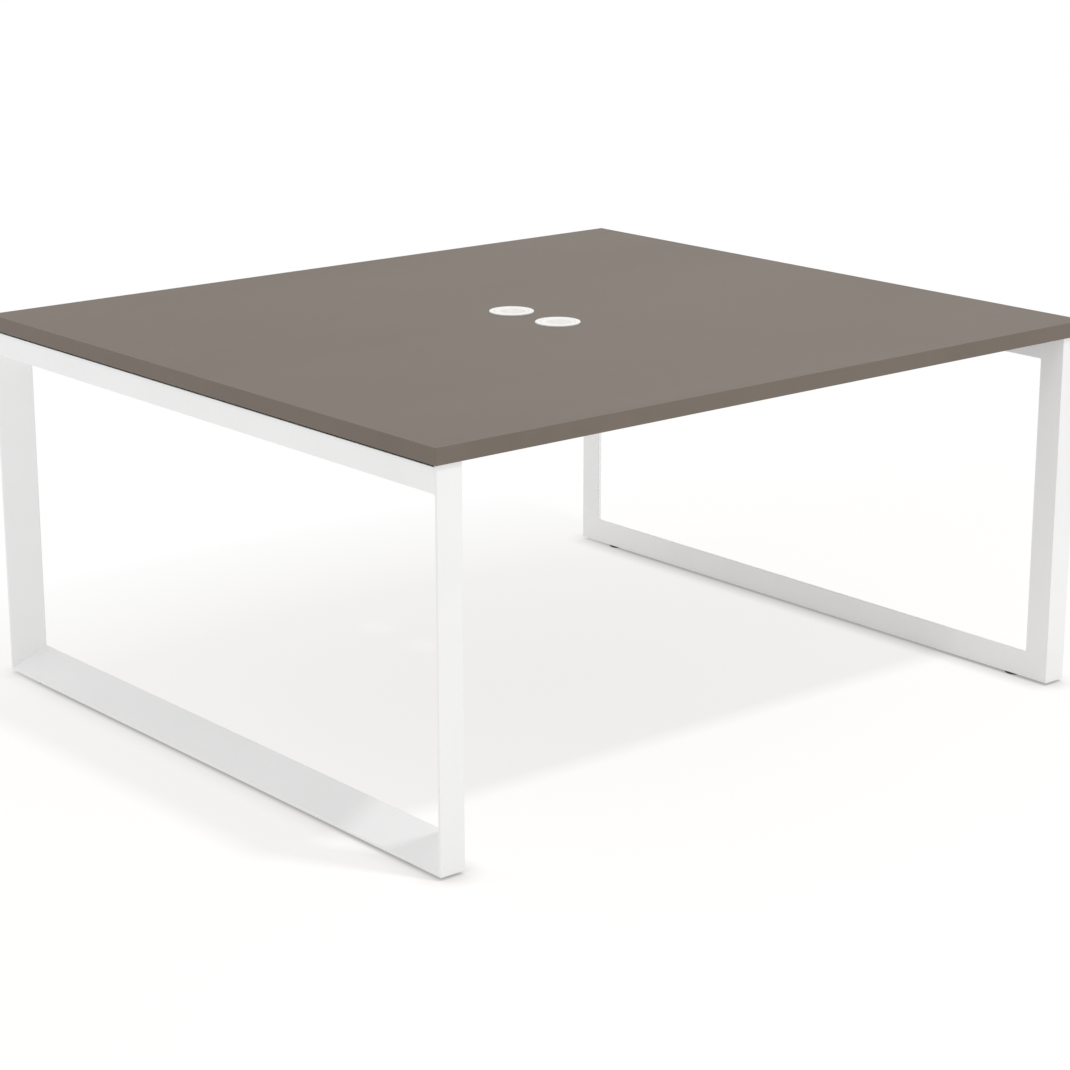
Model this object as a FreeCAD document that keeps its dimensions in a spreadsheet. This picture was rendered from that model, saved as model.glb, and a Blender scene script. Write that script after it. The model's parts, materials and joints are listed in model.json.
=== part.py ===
import FreeCAD, Part
import os
import re

import Sketcher

# Rectangular meeting table: a laminate top with two cable ports, on two loop frames of bevelled tube.
# Millimetres. The origin is the middle of the footprint, on the floor. +X runs along the top's long side,
# +Y from the front edge to the back one, and +Z up. Most pieces are drawn at the left front and mirrored.

SIZES = {
    # The whole table
    "top_length": 1600,
    "top_depth": 1420,
    "table_height": 740,
    # Top board and its edge bands
    "top_thickness": 30,
    "band_thickness": 2,
    "arris_radius": 1.2,
    # Cable ports: radius of the board's hole, how far the ring's flange reaches past it and stands proud, how
    # much smaller than the hole the ring's mouth is, and the seat of its lid, below the rim
    "port_offset": 70,
    "port_hole_radius": 40,
    "port_clearance": 0.2,
    "port_wall": 2.2,
    "port_flange": 4.2,
    "port_proud": 2.3,
    "port_reach": 24,
    "port_rounding": 1,
    "mouth_step": 6,
    "seat_width": 3,
    "seat_thickness": 2.5,
    "seat_drop": 4,
    # Lids of the ports: how far they lie below the rim, and the skirt that hangs into the ring. Each is
    # dished, inside a flat rim, to a round opening for cables that lies a little in front of its middle
    "lid_sink": 0.3,
    "lid_plate": 2.2,
    "lid_wall": 2,
    "lid_skirt": 10,
    "lid_clearance": 0.3,
    "lid_rounding": 0.6,
    "dish_rim": 4,
    "dish_depth": 9,
    "opening_radius": 17,
    "opening_offset": 4,
    # End frames: the tube is frame_lip deep at its outer plane and frame_depth deep at its inner one
    "frame_inset": 4,
    "frame_width": 52,
    "frame_depth": 56,
    "frame_lip": 5,
    "rail_height": 45,
    "tube_wall": 2,
    "tube_radius": 1,
    "cap_thickness": 3,
    "shadow_gap": 4,
    "floor_gap": 6,
    # Long beams and their end plates
    "beam_offset": 350,
    "beam_width": 60,
    "beam_height": 40,
    "plate_thickness": 5,
    "plate_margin": 20,
    "plate_rounding": 3,
    # Bolts and weld nuts that hold the plates to the top rails
    "bolt_radius": 4,
    "bolt_margin": 10,
    "bolt_head_radius": 7,
    "bolt_head_height": 4.4,
    "bolt_socket": 3,
    "bolt_tail": 2,
    "weld_nut_radius": 7.5,
    "weld_nut_height": 6.5,
    # Screws, spacers and inserts that hold the top down
    "screw_radius": 3,
    "screw_head_radius": 5.25,
    "screw_head_height": 3.3,
    "screw_socket": 2.3,
    "screw_grip": 11,
    "rail_screw_pitch": 450,
    "beam_screw_offset": 400,
    "spacer_radius": 11,
    "insert_radius": 5,
    "insert_length": 13,
    "insert_spare": 1,
    # Levelling feet and their rivet nuts
    "foot_radius": 20,
    "foot_chamfer": 0.8,
    "foot_floor": 1.6,
    "foot_setback": 24,
    "foot_inset": 100,
    "stud_radius": 4,
    "stud_reach": 22,
    "stud_chamfer": 1,
    "rivet_flange_radius": 6.5,
    "rivet_flange": 1,
    "rivet_radius": 5.5,
    "rivet_length": 15,
    # Radial clearances: a thread in its nut, a piece set in its hole, and a screw through a plain hole
    "thread_clearance": 0.08,
    "seat_clearance": 0.1,
    "hole_clearance": 0.5,
}

# Places worked out from the sizes
FRAME_X = "(top_length / 2 - frame_inset)"
FRAME_Y = "(top_depth / 2 - frame_inset)"
FRAME_SPAN = "(top_depth - 2 * frame_inset)"
UNDERSIDE = "(table_height - top_thickness)"
RAIL_TOP = f"({UNDERSIDE} - shadow_gap)"
RAIL_BASE = f"({RAIL_TOP} - rail_height)"
RAIL_INNER_X = f"({FRAME_X} - frame_width)"
RAIL_MIDDLE_X = f"({FRAME_X} - frame_width / 2)"
BEAM_HALF = f"({RAIL_INNER_X} - plate_thickness)"
BEAM_BASE = f"({RAIL_TOP} - beam_height)"
PLATE_WIDTH = "(beam_width + 2 * plate_margin)"
BOLT_REACH = "(beam_width / 2 + bolt_margin)"
FOOT_X = f"({RAIL_INNER_X} + foot_setback)"
FOOT_Y = f"({FRAME_Y} - foot_inset)"
FOOT_HEIGHT = "(floor_gap - rivet_flange)"
MOUTH = "(port_hole_radius - mouth_step)"
LID_EDGE = f"({MOUTH} - lid_clearance)"

# The bevelled tube's section, from the outer plane and the loop's outer face, and the hollow inside its wall
SLOPE = "((frame_depth - frame_lip) / frame_width)"
BEVEL_DROP = f"(tube_wall * sqrt(1 + {SLOPE} ^ 2))"
HOLLOW_LIP = f"(frame_lip + {SLOPE} * tube_wall - {BEVEL_DROP})"
HOLLOW_DEPTH = f"(frame_lip + {SLOPE} * (frame_width - tube_wall) - {BEVEL_DROP})"
SECTION = [("0", "0"), ("frame_width", "0"), ("frame_width", "frame_depth"), ("0", "frame_lip")]
HOLLOW = [
    ("tube_wall", "tube_wall"),
    ("frame_width - tube_wall", "tube_wall"),
    ("frame_width - tube_wall", HOLLOW_DEPTH),
    ("tube_wall", HOLLOW_LIP),
]
MITRE_REACH = "(2 * frame_depth)"

# Shares of a button head: its flat end against its radius, and its hexagon socket against its height
HEAD_FLAT = 0.65
SOCKET_DEPTH = 0.6

LEFT_FRONT = (f"-{FRAME_X}", f"-{FRAME_Y}")
AXES = {"x": FreeCAD.Vector(1, 0, 0), "y": FreeCAD.Vector(0, 1, 0), "z": FreeCAD.Vector(0, 0, 1)}
LEFTWARD = FreeCAD.Rotation(AXES["y"], -90)
WORD = re.compile(r"[a-z_]+")
TINY = 1e-6

doc = FreeCAD.newDocument("meeting_table")
pieces = []


def write_sheet():
    """Put every size in the sheet, under its own name."""
    sheet = doc.addObject("Spreadsheet::Sheet", "dims")
    for row, (name, size) in enumerate(SIZES.items(), start=1):
        sheet.set(f"A{row}", name)
        sheet.set(f"B{row}", str(size))
        sheet.setAlias(f"B{row}", name)
    doc.recompute()


def bind(item, target, formula):
    """Tie a property to a formula written in the sheet's names."""
    named = WORD.sub(lambda word: f"dims.{word[0]}" if word[0] in SIZES else word[0], formula)
    item.setExpression(target, named)


def new_body(label, at, turn=FreeCAD.Rotation()):
    """An empty body with its own origin at the place given by three formulas."""
    body = doc.addObject("PartDesign::Body", label)
    body.Placement = FreeCAD.Placement(FreeCAD.Vector(), turn)
    for letter, formula in zip("xyz", at):
        bind(body, f"Placement.Base.{letter}", formula)
    return body


def new_sketch(body, plane):
    """An empty sketch on one of the body's own origin planes."""
    sketch = body.newObject("Sketcher::SketchObject", f"{body.Name}_sketch")
    support = [feature for feature in body.Origin.OriginFeatures if feature.Role == plane]
    sketch.AttachmentSupport = [(support[0], "")]
    sketch.MapMode = "FlatFace"
    return sketch


def tie_constraint(sketch, constraint, formula):
    """Add a dimension to a sketch and drive it with a formula."""
    index = sketch.addConstraint(constraint)
    name = f"size_{index}"
    sketch.renameConstraint(index, name)
    bind(sketch, f"Constraints.{name}", formula)


def tie_point(sketch, element, point, spot):
    """Hold one point of a sketch at two formulas, measured from the sketch's origin."""
    for kind, axis, formula in (("DistanceX", -2, spot[0]), ("DistanceY", -1, spot[1])):
        if formula == "0":
            sketch.addConstraint(Sketcher.Constraint("PointOnObject", element, point, axis))
        else:
            tie_constraint(sketch, Sketcher.Constraint(kind, -1, 1, element, point, 1.0), formula)


def add_loop(sketch, corners):
    """Draw a closed outline through corners given as pairs of formulas."""
    count = len(corners)
    first = sketch.GeometryCount
    start = FreeCAD.Vector(1, 0, 0)
    ring = [FreeCAD.Rotation(AXES["z"], 360 * k / count).multVec(start) for k in range(count)]
    for k in range(count):
        sketch.addGeometry(Part.LineSegment(ring[k], ring[(k + 1) % count]))
    for k, corner in enumerate(corners):
        following = first + (k + 1) % count
        sketch.addConstraint(Sketcher.Constraint("Coincident", first + k, 2, following, 1))
        tie_point(sketch, first + k, 1, corner)


def add_circles(sketch, centres, radius):
    """Draw circles of one radius around centres given as pairs of formulas."""
    for centre in centres:
        element = sketch.addGeometry(Part.Circle(FreeCAD.Vector(1, 1, 0), AXES["z"], 1.0))
        tie_point(sketch, element, 3, centre)
        tie_constraint(sketch, Sketcher.Constraint("Radius", element, 1.0), radius)


def outline(body, plane, *loops):
    """A sketch of one or more closed outlines."""
    sketch = new_sketch(body, plane)
    for corners in loops:
        add_loop(sketch, corners)
    return sketch


def discs(body, plane, centres, radius, lift="0"):
    """A sketch of equal circles, on an origin plane or lifted off it along its normal."""
    sketch = new_sketch(body, plane)
    bind(sketch, "AttachmentOffset.Base.z", lift)
    add_circles(sketch, centres, radius)
    return sketch


def rectangle(low, high):
    """The corners of a rectangle between two opposite ones."""
    return [low, (high[0], low[1]), high, (low[0], high[1])]


def hexagon(radius):
    """The corners of a hexagon around the sketch's origin."""
    return [(f"{radius} * cos({60 * k})", f"{radius} * sin({60 * k})") for k in range(6)]


def pad(body, sketch, length, backward=False):
    """Pad a sketch along its normal, or backward against it."""
    feature = body.newObject("PartDesign::Pad", f"{body.Name}_pad")
    feature.Profile = sketch
    feature.Reversed = backward
    bind(feature, "Length", length)
    doc.recompute()


def pocket(body, sketch, depth=None, forward=False):
    """Cut a sketch out of a body, right through or to a depth, against its normal or forward along it."""
    before = body.Shape.Volume
    feature = body.newObject("PartDesign::Pocket", f"{body.Name}_pocket")
    feature.Profile = sketch
    feature.Reversed = forward
    if depth is None:
        feature.Type = "ThroughAll"
    else:
        bind(feature, "Length", depth)
    doc.recompute()
    if body.Shape.Volume > before - TINY:
        raise ValueError(f"a cut in {body.Label} removes nothing")


def revolve(body, corners, kind="Revolution", forward="0"):
    """Turn half a section, as radius and height, about the body's Z axis or one that lies in front of it."""
    sketch = outline(body, "XZ_Plane", corners)
    bind(sketch, "AttachmentOffset.Base.z", forward)
    feature = body.newObject(f"PartDesign::{kind}", f"{body.Name}_turn")
    feature.Profile = sketch
    feature.ReferenceAxis = (sketch, ["V_Axis"])
    feature.Angle = 360
    doc.recompute()


def turned(label, corners, at, turn=FreeCAD.Rotation()):
    """A body of revolution about its own Z axis, from half its section as radius and height."""
    body = new_body(label, at, turn)
    revolve(body, corners)
    return body


def round_edges(body, radius, chosen):
    """Round those edges of a body that the test picks."""
    base = body.Tip
    names = [f"Edge{k}" for k, edge in enumerate(base.Shape.Edges, start=1) if chosen(edge)]
    feature = body.newObject("PartDesign::Fillet", f"{body.Name}_rounding")
    feature.Base = (base, names)
    bind(feature, "Radius", radius)
    doc.recompute()


def runs_along(letter):
    """A test for straight edges along one axis."""
    def test(edge):
        run = edge.Vertexes[-1].Point - edge.Vertexes[0].Point
        return run.Length > TINY and abs(run.dot(AXES[letter])) > run.Length - TINY
    return test


def starts_at_zero(letter):
    """A test for edges that lie on the plane through the body's origin across one axis."""
    return lambda edge: all(abs(vertex.Point.dot(AXES[letter])) < TINY for vertex in edge.Vertexes)


def mirrored(source, label, letter):
    """The mirror image of a piece, across the middle plane that one axis crosses."""
    image = doc.addObject("Part::Mirroring", label)
    image.Source = source
    image.Normal = AXES[letter]
    return image


def compound(label, members):
    """Loose pieces held together as one group of separate solids."""
    group = doc.addObject("Part::Compound", label)
    group.Links = members
    return group


def keep(piece):
    """Hand in a piece as a node under its own label."""
    pieces.append(piece)
    return piece


def keep_both_ends(label, members):
    """Hand in a group of like pieces at the left end, with their mirror images at the right end."""
    left = compound(f"{label}_left", members)
    right = mirrored(left, f"{label}_right", "x")
    keep(compound(label, [left, right]))


def keep_four(piece, name):
    """Hand in a left front piece and its images at the other three corners."""
    keep(piece)
    back = keep(mirrored(piece, f"left_back_{name}", "y"))
    keep(mirrored(piece, f"right_front_{name}", "x"))
    keep(mirrored(back, f"right_back_{name}", "x"))


def from_board_corner(spot):
    """A place on the table, measured from the board's left front corner."""
    across, along = spot
    return (f"{across} + top_length / 2 - band_thickness", f"{along} + top_depth / 2 - band_thickness")


def socket_screw(label, radius, head_radius, head_height, socket, length, at, turn=FreeCAD.Rotation()):
    """A button-head screw that stands on its head: the shank runs up from the bearing face."""
    shank = f"({radius} - thread_clearance)"
    tip = f"({head_height} + {length})"
    screw = turned(label, [
        ("0", "0"),
        (f"{HEAD_FLAT} * {head_radius}", "0"),
        (head_radius, head_height),
        (shank, head_height),
        (shank, tip),
        ("0", tip),
    ], at, turn)
    recess = outline(screw, "XY_Plane", hexagon(socket))
    pocket(screw, recess, f"{SOCKET_DEPTH} * {head_height}", forward=True)
    return screw


def tube_ring(label, bore, radius, length, at):
    """A plain ring with a bore, standing on its end."""
    return turned(label, rectangle((bore, "0"), (radius, length)), at)


# Where screws hold the top down: three along the left rail, and one towards the left end of each beam
RAIL_SCREWS = [(f"-{RAIL_MIDDLE_X}", f"{k} * rail_screw_pitch") for k in (-1, 0, 1)]
BEAM_SCREWS = [("-beam_screw_offset", f"{side} * beam_offset") for side in (-1, 1)]


def make_top():
    """The board, with its cable holes and the blind holes for the inserts."""
    corner = ("band_thickness - top_length / 2", "band_thickness - top_depth / 2", UNDERSIDE)
    board = new_body("top_board", corner)
    size = ("top_length - 2 * band_thickness", "top_depth - 2 * band_thickness")
    pad(board, outline(board, "XY_Plane", rectangle(("0", "0"), size)), "top_thickness")
    ports = [from_board_corner(("0", f"{side} * port_offset")) for side in (-1, 1)]
    pocket(board, discs(board, "XY_Plane", ports, "port_hole_radius"), forward=True)
    left = RAIL_SCREWS + BEAM_SCREWS
    right = [(f"-({across})", along) for across, along in left]
    seats = [from_board_corner(spot) for spot in left + right]
    radius = "insert_radius + seat_clearance"
    pocket(board, discs(board, "XY_Plane", seats, radius), "insert_length + insert_spare", forward=True)
    keep(board)


def make_bands():
    """Edge bands: the front and back ones run the full length, and the side ones fit between them."""
    front = new_body("front_edge_band", ("-top_length / 2", "-top_depth / 2", UNDERSIDE))
    size = ("top_length", "band_thickness")
    pad(front, outline(front, "XY_Plane", rectangle(("0", "0"), size)), "top_thickness")
    round_edges(front, "arris_radius", starts_at_zero("y"))
    keep(front)
    keep(mirrored(front, "back_edge_band", "y"))

    left = new_body("left_edge_band", ("-top_length / 2", "band_thickness - top_depth / 2", UNDERSIDE))
    size = ("band_thickness", "top_depth - 2 * band_thickness")
    pad(left, outline(left, "XY_Plane", rectangle(("0", "0"), size)), "top_thickness")
    outer, along = starts_at_zero("x"), runs_along("y")
    round_edges(left, "arris_radius", lambda edge: outer(edge) and along(edge))
    keep(left)
    keep(mirrored(left, "right_edge_band", "x"))


def round_top(body, radius):
    """Round the edges of a body's top face."""
    top = body.Tip.Shape.BoundBox.ZMax
    round_edges(body, radius, lambda edge: edge.BoundBox.ZMin > top - TINY)


def make_ports():
    """Cable rings: a barrel in the board's hole, a flange on the top, and a seat for the lid in the mouth."""
    barrel = "(port_hole_radius - port_clearance)"
    bore = f"({barrel} - port_wall)"
    flange = "(port_hole_radius + port_flange)"
    height = "(port_reach + port_proud)"
    seat = f"({height} - seat_drop)"
    seat_base = f"({seat} - seat_thickness)"
    seat_bore = f"({MOUTH} - seat_width)"
    ring = turned("front_cable_port", [
        (bore, "0"),
        (barrel, "0"),
        (barrel, "port_reach"),
        (flange, "port_reach"),
        (flange, height),
        (MOUTH, height),
        (MOUTH, seat),
        (seat_bore, seat),
        (seat_bore, seat_base),
        (bore, seat_base),
    ], ("0", "-port_offset", "table_height - port_reach"))
    round_top(ring, "port_rounding")
    keep(ring)
    keep(mirrored(ring, "back_cable_port", "y"))


def make_lids():
    """Lids that turn in the rings: a plate with a skirt, dished to an opening in front of its middle."""
    skirt = f"({LID_EDGE} - seat_width)"
    inside = f"({skirt} - lid_wall)"
    top = "(lid_skirt + seat_drop - lid_sink)"
    under = f"({top} - lid_plate)"
    lip = f"({top} - dish_depth)"
    dish_radius = f"({LID_EDGE} - dish_rim - opening_offset)"
    slope = f"(dish_depth / ({dish_radius} - opening_radius))"
    wall_drop = f"(lid_wall * sqrt(1 + {slope} ^ 2))"
    outer = "(opening_radius + lid_wall)"
    outer_lip = f"({lip} + {slope} * lid_wall - {wall_drop})"
    wall_top = f"({under} + lid_plate / 2)"
    wall_reach = f"(opening_radius + ({wall_top} - {lip} + {wall_drop}) / {slope})"
    for end, side in (("front", -1), ("back", 1)):
        lid = turned(f"{end}_port_lid", [
            ("0", under),
            (inside, under),
            (inside, "0"),
            (skirt, "0"),
            (skirt, "lid_skirt"),
            (LID_EDGE, "lid_skirt"),
            (LID_EDGE, top),
            ("0", top),
        ], ("0", f"{side} * port_offset", "table_height + port_proud - seat_drop - lid_skirt"))
        walls = [("0", "0"), (outer, "0"), (outer, outer_lip), (wall_reach, wall_top), ("0", wall_top)]
        revolve(lid, walls, forward="opening_offset")
        side_line = [("opening_radius", "0"), ("opening_radius", lip), (dish_radius, top)]
        dish = [("0", "0"), *side_line, ("0", top)]
        revolve(lid, dish, "Groove", forward="opening_offset")
        round_top(lid, "lid_rounding")
        keep(lid)


def make_posts():
    """Bevelled posts, mitred at the foot, and the plates that close them under the top."""
    post = new_body("left_front_post", LEFT_FRONT + ("floor_gap",))
    pad(post, outline(post, "XY_Plane", SECTION), f"{UNDERSIDE} - cap_thickness - floor_gap")
    round_edges(post, "tube_radius", runs_along("z"))
    pocket(post, outline(post, "XY_Plane", HOLLOW), forward=True)
    mitre = [("0", "0"), (MITRE_REACH, "0"), (MITRE_REACH, MITRE_REACH)]
    pocket(post, outline(post, "YZ_Plane", mitre), forward=True)
    keep_four(post, "post")

    cap = new_body("left_front_post_cap", LEFT_FRONT + (f"{UNDERSIDE} - cap_thickness",))
    pad(cap, outline(cap, "XY_Plane", SECTION), "cap_thickness")
    round_edges(cap, "tube_radius", runs_along("z"))
    keep_four(cap, "post_cap")


def make_bottom_rails():
    """Bevelled bottom rails, mitred at both ends, with holes for the feet's rivet nuts."""
    rail = new_body("left_bottom_rail", LEFT_FRONT + ("floor_gap",))
    pad(rail, outline(rail, "XZ_Plane", SECTION), FRAME_SPAN, backward=True)
    round_edges(rail, "tube_radius", runs_along("y"))
    pocket(rail, outline(rail, "XZ_Plane", HOLLOW))
    front = [("0", "0"), ("0", MITRE_REACH), (MITRE_REACH, MITRE_REACH)]
    back = [(f"{FRAME_SPAN} - {along}", height) for along, height in front]
    pocket(rail, outline(rail, "YZ_Plane", front, back), forward=True)
    across = "frame_width - foot_setback"
    nuts = [(across, "foot_inset"), (across, f"{FRAME_SPAN} - foot_inset")]
    pocket(rail, discs(rail, "XY_Plane", nuts, "rivet_radius + seat_clearance"), "tube_wall", forward=True)
    keep(rail)
    keep(mirrored(rail, "right_bottom_rail", "x"))


def make_top_rails():
    """Rectangular top rails, whose ends are cut to the posts' bevels."""
    rail = new_body("left_top_rail", LEFT_FRONT + (RAIL_BASE,))
    plan = [
        ("0", "frame_lip"),
        ("frame_width", "frame_depth"),
        ("frame_width", f"{FRAME_SPAN} - frame_depth"),
        ("0", f"{FRAME_SPAN} - frame_lip"),
    ]
    pad(rail, outline(rail, "XY_Plane", plan), "rail_height")
    round_edges(rail, "tube_radius", runs_along("y"))
    hollow = rectangle(("tube_wall", "tube_wall"), ("frame_width - tube_wall", "rail_height - tube_wall"))
    pocket(rail, outline(rail, "XZ_Plane", hollow))
    screws = [("frame_width / 2", f"{FRAME_SPAN} / 2 + {along}") for _, along in RAIL_SCREWS]
    pocket(rail, discs(rail, "XY_Plane", screws, "screw_radius + hole_clearance"), forward=True)
    bolts = [
        (f"{FRAME_SPAN} / 2 + {side} * beam_offset + {edge} * {BOLT_REACH}", "rail_height / 2")
        for side in (-1, 1)
        for edge in (-1, 1)
    ]
    holes = discs(rail, "YZ_Plane", bolts, "bolt_radius + hole_clearance", lift="frame_width")
    pocket(rail, holes, "tube_wall")
    keep(rail)
    keep(mirrored(rail, "right_top_rail", "x"))


def make_beams():
    """Long beams under the top, and the plates at their ends."""
    beam = new_body("front_beam", (f"-{BEAM_HALF}", "-beam_offset - beam_width / 2", BEAM_BASE))
    length = f"(2 * {BEAM_HALF})"
    pad(beam, outline(beam, "YZ_Plane", rectangle(("0", "0"), ("beam_width", "beam_height"))), length)
    round_edges(beam, "tube_radius", runs_along("x"))
    hollow = rectangle(("tube_wall", "tube_wall"), ("beam_width - tube_wall", "beam_height - tube_wall"))
    pocket(beam, outline(beam, "YZ_Plane", hollow), forward=True)
    screws = [(f"{BEAM_HALF} + {side} * beam_screw_offset", "beam_width / 2") for side in (-1, 1)]
    pocket(beam, discs(beam, "XY_Plane", screws, "screw_radius + hole_clearance"), forward=True)
    keep(beam)
    keep(mirrored(beam, "back_beam", "y"))

    corner = (f"-{RAIL_INNER_X}", f"-beam_offset - {PLATE_WIDTH} / 2", RAIL_BASE)
    plate = new_body("left_front_beam_plate", corner)
    size = (PLATE_WIDTH, "rail_height")
    pad(plate, outline(plate, "YZ_Plane", rectangle(("0", "0"), size)), "plate_thickness")
    round_edges(plate, "plate_rounding", runs_along("x"))
    bolts = [(f"{PLATE_WIDTH} / 2 + {edge} * {BOLT_REACH}", "rail_height / 2") for edge in (-1, 1)]
    pocket(plate, discs(plate, "YZ_Plane", bolts, "bolt_radius + hole_clearance"), forward=True)
    keep_four(plate, "beam_plate")


def make_beam_fasteners():
    """Bolts through the plates into the top rails, and the weld nuts inside the rails' walls."""
    bolts, nuts = [], []
    middle = f"{RAIL_BASE} + rail_height / 2"
    length = "(plate_thickness + tube_wall + weld_nut_height + bolt_tail)"
    for side in (-1, 1):
        for edge in (-1, 1):
            along = f"{side} * beam_offset + {edge} * {BOLT_REACH}"
            head = f"bolt_head_height - {BEAM_HALF}"
            sizes = ("bolt_radius", "bolt_head_radius", "bolt_head_height", "bolt_socket", length)
            bolts.append(socket_screw("bolt", *sizes, (head, along, middle), LEFTWARD))
            nut = new_body("weld_nut", (f"-{RAIL_INNER_X} - tube_wall", along, middle))
            shape = outline(nut, "YZ_Plane", hexagon("weld_nut_radius"))
            add_circles(shape, [("0", "0")], "bolt_radius")
            pad(nut, shape, "weld_nut_height", backward=True)
            nuts.append(nut)
    keep_both_ends("beam_bolts", bolts)
    keep_both_ends("beam_weld_nuts", nuts)


def make_top_fasteners():
    """Screws up through the rails and beams, spacers in the shadow gap, and inserts in the board."""
    rows = {"rail_screws": (RAIL_SCREWS, "rail_height"), "beam_screws": (BEAM_SCREWS, "beam_height")}
    for label, (spots, tube_height) in rows.items():
        length = f"({tube_height} + shadow_gap + screw_grip)"
        base = f"{RAIL_TOP} - {tube_height} - screw_head_height"
        sizes = ("screw_radius", "screw_head_radius", "screw_head_height", "screw_socket", length)
        keep_both_ends(label, [socket_screw("screw", *sizes, spot + (base,)) for spot in spots])
    spacers, inserts = [], []
    loose = "screw_radius + hole_clearance"
    threaded = "screw_radius"
    for spot in RAIL_SCREWS + BEAM_SCREWS:
        seat = spot + (UNDERSIDE,)
        spacers.append(tube_ring("spacer", loose, "spacer_radius", "shadow_gap", spot + (RAIL_TOP,)))
        inserts.append(tube_ring("insert", threaded, "insert_radius", "insert_length", seat))
    keep_both_ends("top_spacers", spacers)
    keep_both_ends("top_inserts", inserts)


def make_feet():
    """Levelling feet, drawn screwed fully in: a moulded pad on a stud, in a rivet nut in the rail."""
    spot = (f"-{FOOT_X}", f"-{FOOT_Y}")
    socket = "(stud_radius - thread_clearance + seat_clearance)"
    waist = "(foot_radius - foot_chamfer)"
    foot = turned("left_front_foot", [
        ("0", "0"),
        (waist, "0"),
        ("foot_radius", "foot_chamfer"),
        ("foot_radius", f"{FOOT_HEIGHT} - foot_chamfer"),
        (waist, FOOT_HEIGHT),
        (socket, FOOT_HEIGHT),
        (socket, "foot_floor"),
        ("0", "foot_floor"),
    ], spot + ("0",))
    keep_four(foot, "foot")

    stud_side = "(stud_radius - thread_clearance)"
    tip = "(floor_gap + stud_reach - foot_floor)"
    stud = turned("left_front_foot_stud", [
        ("0", "0"),
        (stud_side, "0"),
        (stud_side, f"{tip} - stud_chamfer"),
        (f"{stud_side} - stud_chamfer", tip),
        ("0", tip),
    ], spot + ("foot_floor",))
    keep_four(stud, "foot_stud")

    nuts = []
    top = "(rivet_flange + rivet_length)"
    for side in (-1, 1):
        nut = turned("rivet_nut", [
            ("stud_radius", "0"),
            ("rivet_flange_radius", "0"),
            ("rivet_flange_radius", "rivet_flange"),
            ("rivet_radius", "rivet_flange"),
            ("rivet_radius", top),
            ("stud_radius", top),
        ], (f"-{FOOT_X}", f"{side} * {FOOT_Y}", FOOT_HEIGHT))
        nuts.append(nut)
    keep_both_ends("foot_rivet_nuts", nuts)


def check_all():
    """Stop if any object failed or any piece has no sound shape."""
    for item in doc.Objects:
        if "Invalid" in item.State or "Error" in item.State:
            raise ValueError(f"{item.Label} failed")
    for piece in pieces:
        if piece.Shape.isNull() or not piece.Shape.isValid():
            raise ValueError(f"{piece.Label} has no sound shape")


write_sheet()
make_top()
make_bands()
make_ports()
make_lids()
make_posts()
make_bottom_rails()
make_top_rails()
make_beams()
make_beam_fasteners()
make_top_fasteners()
make_feet()
doc.recompute()
check_all()

os.makedirs("parts", exist_ok=True)
for piece in pieces:
    piece.Shape.exportStep(f"parts/{piece.Label}.step")
    print(f"{piece.Label}: {len(piece.Shape.Solids)} solid, {piece.Shape.Volume / 1000:.1f} cm3")
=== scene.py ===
"""Looks of a rectangular meeting table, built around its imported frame.

The frame's solids keep their shapes and get procedural finishes. Threaded studs stand for the plain ones
under the feet, and weld beads are added where the tubes meet. A white studio floor, a key lamp and soft fills
light the table as in the photograph.
"""
import json
import math

import bmesh
import bpy
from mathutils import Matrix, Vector

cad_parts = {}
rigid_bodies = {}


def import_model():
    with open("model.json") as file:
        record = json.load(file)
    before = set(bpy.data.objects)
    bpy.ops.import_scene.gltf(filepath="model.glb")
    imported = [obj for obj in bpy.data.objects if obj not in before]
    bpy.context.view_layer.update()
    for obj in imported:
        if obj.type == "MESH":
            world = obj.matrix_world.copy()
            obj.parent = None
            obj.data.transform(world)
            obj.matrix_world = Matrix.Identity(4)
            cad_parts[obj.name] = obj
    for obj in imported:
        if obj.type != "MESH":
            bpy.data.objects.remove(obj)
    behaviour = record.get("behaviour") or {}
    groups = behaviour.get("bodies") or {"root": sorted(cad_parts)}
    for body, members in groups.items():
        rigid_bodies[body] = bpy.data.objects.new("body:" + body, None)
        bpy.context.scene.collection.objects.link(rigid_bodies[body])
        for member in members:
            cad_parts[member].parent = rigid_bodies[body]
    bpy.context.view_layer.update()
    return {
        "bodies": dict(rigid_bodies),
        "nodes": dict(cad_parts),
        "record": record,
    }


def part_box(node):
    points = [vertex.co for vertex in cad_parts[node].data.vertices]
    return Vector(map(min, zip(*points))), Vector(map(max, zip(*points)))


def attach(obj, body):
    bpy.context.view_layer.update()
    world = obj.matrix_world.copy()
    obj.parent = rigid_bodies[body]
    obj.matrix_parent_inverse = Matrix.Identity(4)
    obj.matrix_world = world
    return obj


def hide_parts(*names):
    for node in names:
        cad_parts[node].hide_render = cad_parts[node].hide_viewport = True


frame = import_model()


def srgb(red, green, blue):
    """A colour given as 0 to 255 screen values, as the linear values that shaders take."""
    shares = [value / 255 for value in (red, green, blue)]
    return (*[s / 12.92 if s <= 0.04045 else ((s + 0.055) / 1.055) ** 2.4 for s in shares], 1.0)


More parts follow.
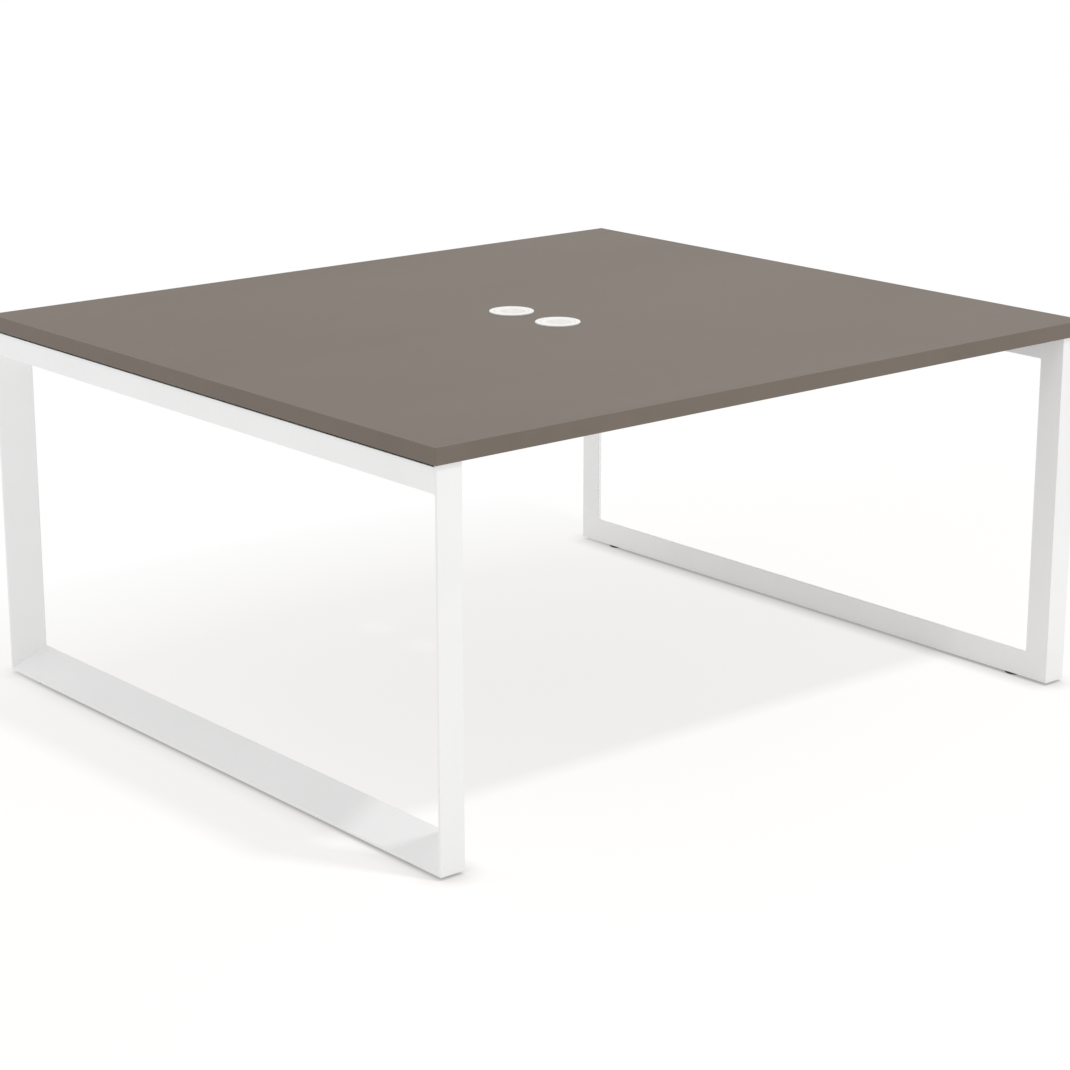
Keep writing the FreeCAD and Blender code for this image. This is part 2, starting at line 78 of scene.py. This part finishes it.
# Colours of the finishes
LAMINATE_DARK = srgb(113, 104, 95)
LAMINATE_LIGHT = srgb(121, 112, 102)
LAMINATE_PORE = srgb(101, 93, 84)
# Painted shade: a dark colour for the faces of the top that look down. It stands in for the shade under the
# top
PAINTED_UNDERSIDE_SHADE = srgb(60, 55, 50)
BAND_DARK = srgb(115, 106, 97)
BAND_LIGHT = srgb(122, 112, 103)
PORT_DARK = srgb(236, 234, 231)
PORT_LIGHT = srgb(239, 237, 234)
PAINT_DARK = srgb(244, 244, 244)
PAINT_LIGHT = srgb(247, 247, 247)
ZINC_DARK = srgb(186, 186, 180)
ZINC_LIGHT = srgb(216, 215, 208)
RUBBER_DARK = srgb(26, 26, 27)
RUBBER_LIGHT = srgb(40, 40, 41)
BLACK_DARK = srgb(27, 27, 28)
BLACK_LIGHT = srgb(39, 39, 40)
WHITE = (1.0, 1.0, 1.0, 1.0)

# The middle range, where noise stays over most of a surface
NOISE_LOW = 0.3
NOISE_HIGH = 0.7
# How far the roughness of moulded pieces drifts to either side
SHEEN_DRIFT = 0.05
# Colour sockets of a mix node, by number, because its sockets for other kinds have the same names
MIX_FIRST = 6
MIX_SECOND = 7
MIX_RESULT = 2

# Camera, at the photograph's viewing angle
CAMERA_PLACE = (-3.3665, -4.0068, 1.7804)
CAMERA_HEADING = math.radians(-40.048)
CAMERA_PITCH = math.radians(-15.819)
SENSOR = 36.0
LENS = 2.5469 * SENSOR

# Lamps as place, size and share of light, aimed at the middle of the top. A share of 1 gives a white surface
# there that faces the lamp full white, and so does a world share of 1 for one that faces up
LAMP_TARGET = Vector((0.0, 0.0, 0.74))
LAMPS = {
    "key": ((0.33, -2.68, 5.77), (0.42, 0.42), 0.26),
    "left_fill": ((-2.2, 2.2, 4.2), (3.0, 2.4), 0.17),
    "back_fill": ((3.4, 2.4, 3.0), (3.0, 2.4), 0.05),
    "front_fill": ((1.2, -5.0, 1.6), (2.4, 1.6), 0.03),
}
WORLD_SHARE = 0.68
# A second lamp in the key's place lights only the floor, so that the shadow there is as even as in the
# photograph
FLOOR_KEY_SHARE = 0.74

# Floor: a warm white glow of its own, dimmed as painted contact shade where something covers it closely, and
# the share of real light that keeps the table's shadow on it. Away from a point in front of the table it
# fades to plain white
FLOOR_HALF = 30.0
FLOOR_COLOUR = (1.0, 0.985, 0.972, 1.0)
FLOOR_WHITE = 0.81
# Glow left in the painted contact shade where something covers the floor fully, and how close it must be to
# do so
FLOOR_PAINTED_SHADE_GLOW = 0.27
FLOOR_PAINTED_SHADE_REACH = 0.05
FLOOR_SHADE = 0.142
FLOOR_FADE_CENTRE = (0.0, -2.0, 0.0)
FLOOR_FADE = (2.65, 3.3)

# Thread of the foot studs, coarse metric eight, in metres
THREAD_PITCH = 0.00125
THREAD_DEPTH = 0.00068
THREAD_STEPS = 32
THREAD_ROOT_SHARE = 0.25
THREAD_CREST_SHARE = 0.125
THREAD_LEAD_IN = 0.0009
# Turns below the lower cut at which the thread starts: half a step off, so that the cut passes between its
# points. The thread also runs past the upper cut
THREAD_START = 1.5 + 0.5 / THREAD_STEPS
THREAD_SPARE_TURNS = 2

# Weld beads, in metres: half width and height of a dressed bead on flush faces and of a bead in a corner, the
# length of one ripple, how deep the ripples are as a share of the bead, the run over which its ends taper,
# and the share of its size that is left at the ends
FLUSH_BEAD = (0.0017, 0.0006)
CORNER_BEAD = (0.0022, 0.0022)
BEAD_RIPPLE = 0.0021
BEAD_RIPPLE_SHARE = 0.22
BEAD_TAPER = 0.003
BEAD_END_SHARE = 0.3
BEAD_STEPS_PER_RIPPLE = 6
BEAD_SIDES = 14


def new_material(name):
    """An empty finish: the material, its node tree and its shader."""
    material = bpy.data.materials.new(name)
    material.use_nodes = True
    tree = material.node_tree
    return material, tree, tree.nodes["Principled BSDF"]


def add_node(tree, kind, inputs=None, **settings):
    """A node with its settings, and with each named input given a value or linked to another node."""
    made = tree.nodes.new(kind)
    for name, value in settings.items():
        setattr(made, name, value)
    for name, value in (inputs or {}).items():
        if isinstance(value, bpy.types.NodeSocket):
            tree.links.new(value, made.inputs[name])
        else:
            made.inputs[name].default_value = value
    return made


def place(tree, stretch=(1, 1, 1)):
    """The surface point in metres, drawn out along an axis by a smaller factor."""
    point = add_node(tree, "ShaderNodeTexCoord").outputs["Object"]
    return add_node(tree, "ShaderNodeMapping", {"Vector": point, "Scale": stretch}).outputs["Vector"]


def noise(tree, point, scale, detail=2.0, roughness=0.5):
    """Even noise around one half, with this many waves per metre."""
    inputs = {"Vector": point, "Scale": scale, "Detail": detail, "Roughness": roughness}
    return add_node(tree, "ShaderNodeTexNoise", inputs).outputs["Fac"]


def spread(tree, value, low, high, start=NOISE_LOW, end=NOISE_HIGH):
    """The value's middle range, mapped to another one."""
    inputs = {"Value": value, "From Min": start, "From Max": end, "To Min": low, "To Max": high}
    return add_node(tree, "ShaderNodeMapRange", inputs).outputs["Result"]


def shades(tree, value, dark, light):
    """A colour between two shades, by the noise's middle range."""
    ramp = add_node(tree, "ShaderNodeValToRGB", {"Fac": value})
    ramp.color_ramp.elements[0].position = NOISE_LOW
    ramp.color_ramp.elements[0].color = dark
    ramp.color_ramp.elements[1].position = NOISE_HIGH
    ramp.color_ramp.elements[1].color = light
    return ramp.outputs["Color"]


def mixed(tree, share, first, second):
    """Two colours, mixed by a share that differs over the surface."""
    mix = add_node(tree, "ShaderNodeMix", data_type="RGBA")
    tree.links.new(share, mix.inputs["Factor"])
    for socket, colour in ((mix.inputs[MIX_FIRST], first), (mix.inputs[MIX_SECOND], second)):
        if isinstance(colour, bpy.types.NodeSocket):
            tree.links.new(colour, socket)
        else:
            socket.default_value = colour
    return mix.outputs[MIX_RESULT]


def summed(tree, first, second):
    """Two heights, added."""
    return add_node(tree, "ShaderNodeMath", {0: first, 1: second}, operation="ADD").outputs["Value"]


def relief(tree, shader, height, depth, strength=1.0):
    """Fine relief of this depth in metres on the shader's surface."""
    bump = add_node(tree, "ShaderNodeBump", {"Height": height, "Distance": depth, "Strength": strength})
    tree.links.new(bump.outputs["Normal"], shader.inputs["Normal"])


def laminate():
    """Matt taupe laminate: faint grain along the top, short pores, slight clouds, and painted shade on the
    faces that look down.
    """
    material, tree, shader = new_material("taupe_laminate")
    streaks = noise(tree, place(tree, stretch=(1.6, 130, 130)), scale=1.0, detail=5.0, roughness=0.6)
    clouds = noise(tree, place(tree, stretch=(1.0, 2.5, 2.5)), scale=1.5)
    pores = noise(tree, place(tree, stretch=(28, 760, 760)), scale=1.0, detail=1.0)
    tone = add_node(tree, "ShaderNodeMix", {"Factor": 0.35, "A": streaks, "B": clouds}).outputs["Result"]
    colour = shades(tree, tone, LAMINATE_DARK, LAMINATE_LIGHT)
    pore_share = spread(tree, pores, low=0.0, high=0.35, start=0.62, end=0.78)
    grained = mixed(tree, pore_share, colour, LAMINATE_PORE)
    # Painted shade: faces that look down take the dark underside colour, so they throw less light onto the
    # rails beneath
    facing = add_node(tree, "ShaderNodeNewGeometry").outputs["True Normal"]
    upward = add_node(tree, "ShaderNodeSeparateXYZ", {"Vector": facing}).outputs["Z"]
    underside_shade_share = spread(tree, upward, low=1.0, high=0.0, start=-0.9, end=-0.5)
    tree.links.new(mixed(tree, underside_shade_share, grained, PAINTED_UNDERSIDE_SHADE), shader.inputs["Base Color"])
    tree.links.new(spread(tree, streaks, low=0.50, high=0.58), shader.inputs["Roughness"])
    shader.inputs["Specular IOR Level"].default_value = 0.09
    grit = noise(tree, place(tree), scale=1400.0, detail=1.0)
    pits = spread(tree, pores, low=0.0, high=-0.8, start=0.58, end=0.75)
    relief(tree, shader, summed(tree, grit, pits), depth=0.00005)
    return material


def edging():
    """Satin plastic edging in the laminate's colour, finely pearled."""
    material, tree, shader = new_material("taupe_edging")
    pearl = noise(tree, place(tree), scale=900.0, detail=2.0)
    drift = noise(tree, place(tree), scale=9.0, detail=3.0)
    tone = add_node(tree, "ShaderNodeMix", {"Factor": 0.6, "A": pearl, "B": drift}).outputs["Result"]
    tree.links.new(shades(tree, tone, BAND_DARK, BAND_LIGHT), shader.inputs["Base Color"])
    tree.links.new(spread(tree, drift, low=0.42, high=0.50), shader.inputs["Roughness"])
    shader.inputs["Specular IOR Level"].default_value = 0.12
    relief(tree, shader, pearl, depth=0.00004)
    return material


def powder_coat():
    """White powder coat: the soft orange peel of a baked coat, with a satin gloss that drifts a little."""
    material, tree, shader = new_material("white_powder_coat")
    peel = noise(tree, place(tree), scale=420.0, detail=2.0, roughness=0.45)
    grit = noise(tree, place(tree), scale=1800.0, detail=1.0)
    drift = noise(tree, place(tree), scale=6.0, detail=3.0)
    tree.links.new(shades(tree, drift, PAINT_DARK, PAINT_LIGHT), shader.inputs["Base Color"])
    tree.links.new(spread(tree, drift, low=0.36, high=0.44), shader.inputs["Roughness"])
    fine = spread(tree, grit, low=0.0, high=0.25)
    relief(tree, shader, summed(tree, peel, fine), depth=0.00006)
    return material


def moulded(name, dark, light, roughness, grain, depth, gloss=0.5):
    """Moulded plastic or rubber with an eroded grain of this many waves per metre."""
    material, tree, shader = new_material(name)
    skin = noise(tree, place(tree), grain, detail=2.0)
    drift = noise(tree, place(tree), scale=45.0, detail=3.0)
    tree.links.new(shades(tree, drift, dark, light), shader.inputs["Base Color"])
    sheen = spread(tree, drift, low=roughness - SHEEN_DRIFT, high=roughness + SHEEN_DRIFT)
    tree.links.new(sheen, shader.inputs["Roughness"])
    shader.inputs["Specular IOR Level"].default_value = gloss
    relief(tree, shader, skin, depth)
    return material


def zinc():
    """Zinc-plated steel: a mottled, slightly dulled metal."""
    material, tree, shader = new_material("zinc_plated_steel")
    mottle = noise(tree, place(tree), scale=260.0, detail=4.0, roughness=0.6)
    fine = noise(tree, place(tree), scale=2600.0, detail=1.0)
    tree.links.new(shades(tree, mottle, ZINC_DARK, ZINC_LIGHT), shader.inputs["Base Color"])
    tree.links.new(spread(tree, mottle, low=0.30, high=0.46), shader.inputs["Roughness"])
    shader.inputs["Metallic"].default_value = 1.0
    relief(tree, shader, fine, depth=0.00002)
    return material


FINISHES = {
    "top_laminate": laminate(),
    "edge_band": edging(),
    "port_plastic": moulded(
        "white_port_plastic", PORT_DARK, PORT_LIGHT, roughness=0.34, grain=2400.0, depth=0.00003, gloss=0.2
    ),
    "frame_paint": powder_coat(),
    "zinc_steel": zinc(),
    "black_rubber": moulded(
        "black_rubber", RUBBER_DARK, RUBBER_LIGHT, roughness=0.78, grain=1500.0, depth=0.00006
    ),
    "black_plastic": moulded(
        "black_foot_plastic", BLACK_DARK, BLACK_LIGHT, roughness=0.5, grain=2000.0, depth=0.00004
    ),
}


def finish_nodes():
    """Each solid of the frame takes the finish of its slot in the record."""
    for part in frame["record"]["subparts"]:
        for slot in frame["nodes"][part["node"]].material_slots:
            slot.material = FINISHES[part["material_slot"]]


def thread_profile(crest):
    """One pitch of the thread as (radius, height) points: root, flank, crest, and on to the next root."""
    root = crest - THREAD_DEPTH
    flank_share = (1 - THREAD_ROOT_SHARE - THREAD_CREST_SHARE) / 2
    crest_start = THREAD_ROOT_SHARE + flank_share
    shares = (0.0, THREAD_ROOT_SHARE, crest_start, crest_start + THREAD_CREST_SHARE)
    return [(radius, THREAD_PITCH * share) for radius, share in zip((root, root, crest, crest), shares)]


def thread_mesh(name, centre, crest, bottom, top):
    """A threaded rod along Z: a helical strip sewn to itself, cut flat at both ends, tapered at the top."""
    profile = thread_profile(crest)
    turns = math.ceil((top - bottom) / THREAD_PITCH) + THREAD_SPARE_TURNS
    steps = turns * THREAD_STEPS
    mesh = bmesh.new()
    grid = []
    for step in range(steps + 1):
        angle = 2 * math.pi * step / THREAD_STEPS
        lift = bottom + THREAD_PITCH * (step / THREAD_STEPS - THREAD_START)
        ring = []
        for radius, rise in profile:
            across = centre.x + radius * math.cos(angle)
            along = centre.y + radius * math.sin(angle)
            ring.append(mesh.verts.new((across, along, lift + rise)))
        grid.append(ring)
    for step in range(steps):
        rows = [(grid[step][k], grid[step + 1][k]) for k in range(len(profile))]
        if step + THREAD_STEPS + 1 <= steps:
            rows.append((grid[step + THREAD_STEPS][0], grid[step + THREAD_STEPS + 1][0]))
        for (low, low_next), (high, high_next) in zip(rows, rows[1:]):
            mesh.faces.new((low, low_next, high_next, high))
    for height, outward in ((bottom, -1), (top, 1)):
        whole = mesh.verts[:] + mesh.edges[:] + mesh.faces[:]
        cut = bmesh.ops.bisect_plane(
            mesh, geom=whole, plane_co=(0, 0, height), plane_no=(0, 0, outward), clear_outer=True
        )
        rim = [item for item in cut["geom_cut"] if isinstance(item, bmesh.types.BMEdge)]
        bmesh.ops.contextual_create(mesh, geom=rim)
    narrow = crest - THREAD_DEPTH
    for vertex in mesh.verts:
        offset = Vector((vertex.co.x - centre.x, vertex.co.y - centre.y))
        limit = narrow + max(0.0, top - vertex.co.z) / THREAD_LEAD_IN * THREAD_DEPTH
        if offset.length > limit:
            offset *= limit / offset.length
            vertex.co.x = centre.x + offset.x
            vertex.co.y = centre.y + offset.y
    bmesh.ops.recalc_face_normals(mesh, faces=mesh.faces[:])
    data = bpy.data.meshes.new(name)
    mesh.to_mesh(data)
    mesh.free()
    return data


def threaded_studs():
    """A threaded stud for each foot, in the place of the plain one."""
    for body in frame["bodies"]:
        if not body.endswith("_leveller"):
            continue
        node = body.replace("_leveller", "_foot_stud")
        low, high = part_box(node)
        data = thread_mesh(f"{node}_threaded", (low + high) / 2, (high.x - low.x) / 2, low.z, high.z)
        data.materials.append(FINISHES["zinc_steel"])
        stud = bpy.data.objects.new(data.name, data)
        bpy.context.scene.collection.objects.link(stud)
        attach(stud, body)
        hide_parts(node)


def add_bead(mesh, start, end, outward, size):
    """One bead along a straight joint: a rippled rod, half sunk in the tubes, with tapered ends."""
    run = end - start
    across = run.cross(outward).normalized()
    steps = round(run.length / BEAD_RIPPLE) * BEAD_STEPS_PER_RIPPLE
    rings = []
    for step in range(steps + 1):
        along = run.length * step / steps
        end_gap = min(along, run.length - along)
        taper = BEAD_END_SHARE + (1 - BEAD_END_SHARE) * math.sqrt(min(1.0, end_gap / BEAD_TAPER))
        ripple = step % BEAD_STEPS_PER_RIPPLE / BEAD_STEPS_PER_RIPPLE
        swell = taper * (1 - BEAD_RIPPLE_SHARE * ripple)
        ring = []
        for side in range(BEAD_SIDES):
            angle = 2 * math.pi * side / BEAD_SIDES
            spot = across * (size[0] * math.cos(angle)) + outward * (size[1] * math.sin(angle))
            ring.append(mesh.verts.new(start + run * (step / steps) + spot * swell))
        rings.append(ring)
    for low, high in zip(rings, rings[1:]):
        for side in range(BEAD_SIDES):
            following = (side + 1) % BEAD_SIDES
            mesh.faces.new((low[side], low[following], high[following], high[side]))
    mesh.faces.new(rings[0])
    mesh.faces.new(rings[-1])


def add_welds(name, beads):
    """A painted piece of several beads, fixed to the table."""
    mesh = bmesh.new()
    for bead in beads:
        add_bead(mesh, *bead)
    bmesh.ops.recalc_face_normals(mesh, faces=mesh.faces[:])
    data = bpy.data.meshes.new(name)
    mesh.to_mesh(data)
    mesh.free()
    data.materials.append(FINISHES["frame_paint"])
    piece = bpy.data.objects.new(name, data)
    bpy.context.scene.collection.objects.link(piece)
    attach(piece, "table")


def make_welds():
    """Beads where each top rail meets its posts, and round each beam's ends on their plates."""
    for side, right in (("left", -1), ("right", 1)):
        rail_low, rail_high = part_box(f"{side}_top_rail")
        inner = min(rail_low.x, rail_high.x, key=abs)
        outer = max(rail_low.x, rail_high.x, key=abs)
        for end in ("front", "back"):
            post_low, post_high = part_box(f"{side}_{end}_post")
            edge = min(post_low.y, post_high.y, key=abs)
            rail_end = rail_low.y if end == "front" else rail_high.y
            foot = Vector((inner, edge, rail_low.z))
            top = Vector((inner, edge, rail_high.z))
            tip = Vector((outer, rail_end, rail_low.z))
            flush = (foot, top, Vector((-right, 0, 0)), FLUSH_BEAD)
            under = (foot, tip, Vector((0, 0, -1)), CORNER_BEAD)
            add_welds(f"{side}_{end}_rail_weld", [flush, under])

            beam_low, beam_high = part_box(f"{end}_beam")
            joint = beam_low.x if right < 0 else beam_high.x
            near = Vector((joint, beam_low.y, beam_low.z))
            far = Vector((joint, beam_high.y, beam_low.z))
            rise = Vector((0, 0, beam_high.z - beam_low.z))
            add_welds(f"{side}_{end}_beam_weld", [
                (near, far, Vector((0, 0, -1)), CORNER_BEAD),
                (near, near + rise, Vector((0, -1, 0)), CORNER_BEAD),
                (far, far + rise, Vector((0, 1, 0)), CORNER_BEAD),
            ])


def seen_directly(tree):
    """One for rays that show a background: from the camera, or by reflection or through glass."""
    path = add_node(tree, "ShaderNodeLightPath").outputs
    seen = path["Is Camera Ray"]
    for kind in ("Is Glossy Ray", "Is Transmission Ray"):
        ends = {0: seen, 1: path[kind]}
        seen = add_node(tree, "ShaderNodeMath", ends, operation="MAXIMUM").outputs["Value"]
    return seen


def mixed_shader(tree, share, first, second):
    """Two shaders, mixed by a share."""
    return add_node(tree, "ShaderNodeMixShader", {0: share, 1: first, 2: second}).outputs["Shader"]


def floor_material():
    """White floor that keeps the table's shadow near the table, with painted contact shade under close parts,
    and is clear from below.
    """
    material, tree, shader = new_material("white_floor")
    tree.nodes.remove(shader)
    # Painted contact shade: the floor's glow drops where something stands close above it
    unshaded_share = add_node(tree, "ShaderNodeAmbientOcclusion", {"Distance": FLOOR_PAINTED_SHADE_REACH}).outputs["AO"]
    strength = spread(tree, unshaded_share, FLOOR_PAINTED_SHADE_GLOW, FLOOR_WHITE, start=0.0, end=1.0)
    glow = {"Color": FLOOR_COLOUR, "Strength": strength}
    white = add_node(tree, "ShaderNodeEmission", glow).outputs["Emission"]
    shade_colour = (FLOOR_SHADE, FLOOR_SHADE, FLOOR_SHADE, 1.0)
    shade = add_node(tree, "ShaderNodeBsdfDiffuse", {"Color": shade_colour}).outputs["BSDF"]
    near = add_node(tree, "ShaderNodeAddShader", {0: white, 1: shade}).outputs["Shader"]
    far = add_node(tree, "ShaderNodeEmission", {"Color": WHITE, "Strength": 1.0}).outputs["Emission"]
    ends = {0: place(tree), 1: FLOOR_FADE_CENTRE}
    reach = add_node(tree, "ShaderNodeVectorMath", ends, operation="DISTANCE").outputs["Value"]
    fade_start, fade_end = FLOOR_FADE
    fade = spread(tree, reach, low=0.0, high=1.0, start=fade_start, end=fade_end)
    underside = add_node(tree, "ShaderNodeNewGeometry").outputs["Backfacing"]
    clear = add_node(tree, "ShaderNodeBsdfTransparent").outputs["BSDF"]
    surface = mixed_shader(tree, underside, mixed_shader(tree, fade, near, far), clear)
    tree.links.new(surface, tree.nodes["Material Output"].inputs["Surface"])
    return material


def make_floor():
    """A wide floor under the table."""
    data = bpy.data.meshes.new("floor")
    corners = [(x * FLOOR_HALF, y * FLOOR_HALF, 0.0) for x, y in ((-1, -1), (1, -1), (1, 1), (-1, 1))]
    data.from_pydata(corners, [], [(0, 1, 2, 3)])
    data.materials.append(floor_material())
    floor = bpy.data.objects.new("floor", data)
    bpy.context.scene.collection.objects.link(floor)
    return floor


def make_world():
    """White all round where it is seen, and an even, lower light on the table."""
    world = bpy.data.worlds.new("studio")
    world.use_nodes = True
    tree = world.node_tree
    tree.nodes.remove(tree.nodes["Background"])
    light, shown = [
        add_node(tree, "ShaderNodeBackground", {"Color": WHITE, "Strength": strength}).outputs["Background"]
        for strength in (WORLD_SHARE, 1.0)
    ]
    surface = mixed_shader(tree, seen_directly(tree), light, shown)
    tree.links.new(surface, tree.nodes["World Output"].inputs["Surface"])
    bpy.context.scene.world = world


def add_lamp(name, point, size, share):
    """A rectangular lamp, which faces the table's top."""
    away = Vector(point) - LAMP_TARGET
    data = bpy.data.lights.new(name, "AREA")
    data.shape = "RECTANGLE"
    data.size, data.size_y = size
    # A lamp gives its power over pi and the distance squared, and a white surface returns that over pi
    data.energy = share * math.pi**2 * away.length_squared
    lamp = bpy.data.objects.new(name, data)
    lamp.location = point
    lamp.rotation_euler = away.to_track_quat("Z", "Y").to_euler()
    lamp.visible_camera = False
    bpy.context.scene.collection.objects.link(lamp)
    return lamp


def make_lamps(floor):
    """The lamps on the table, and the one that lights only the floor."""
    for name, (point, size, share) in LAMPS.items():
        add_lamp(name, point, size, share)
    point, size, _ = LAMPS["key"]
    floor_key = add_lamp("floor_key", point, size, FLOOR_KEY_SHARE)
    lit = bpy.data.collections.new("lit_by_floor_key")
    lit.objects.link(floor)
    floor_key.light_linking.receiver_collection = lit


def make_camera():
    """The camera, without shift or depth of field."""
    data = bpy.data.cameras.new("camera")
    data.sensor_width = SENSOR
    data.lens = LENS
    camera = bpy.data.objects.new("camera", data)
    camera.location = CAMERA_PLACE
    camera.rotation_euler = (math.radians(90) + CAMERA_PITCH, 0.0, CAMERA_HEADING)
    bpy.context.scene.collection.objects.link(camera)
    bpy.context.scene.camera = camera


finish_nodes()
threaded_studs()
make_welds()
make_lamps(make_floor())
make_world()
make_camera()
bpy.context.scene.view_settings.view_transform = "Standard"
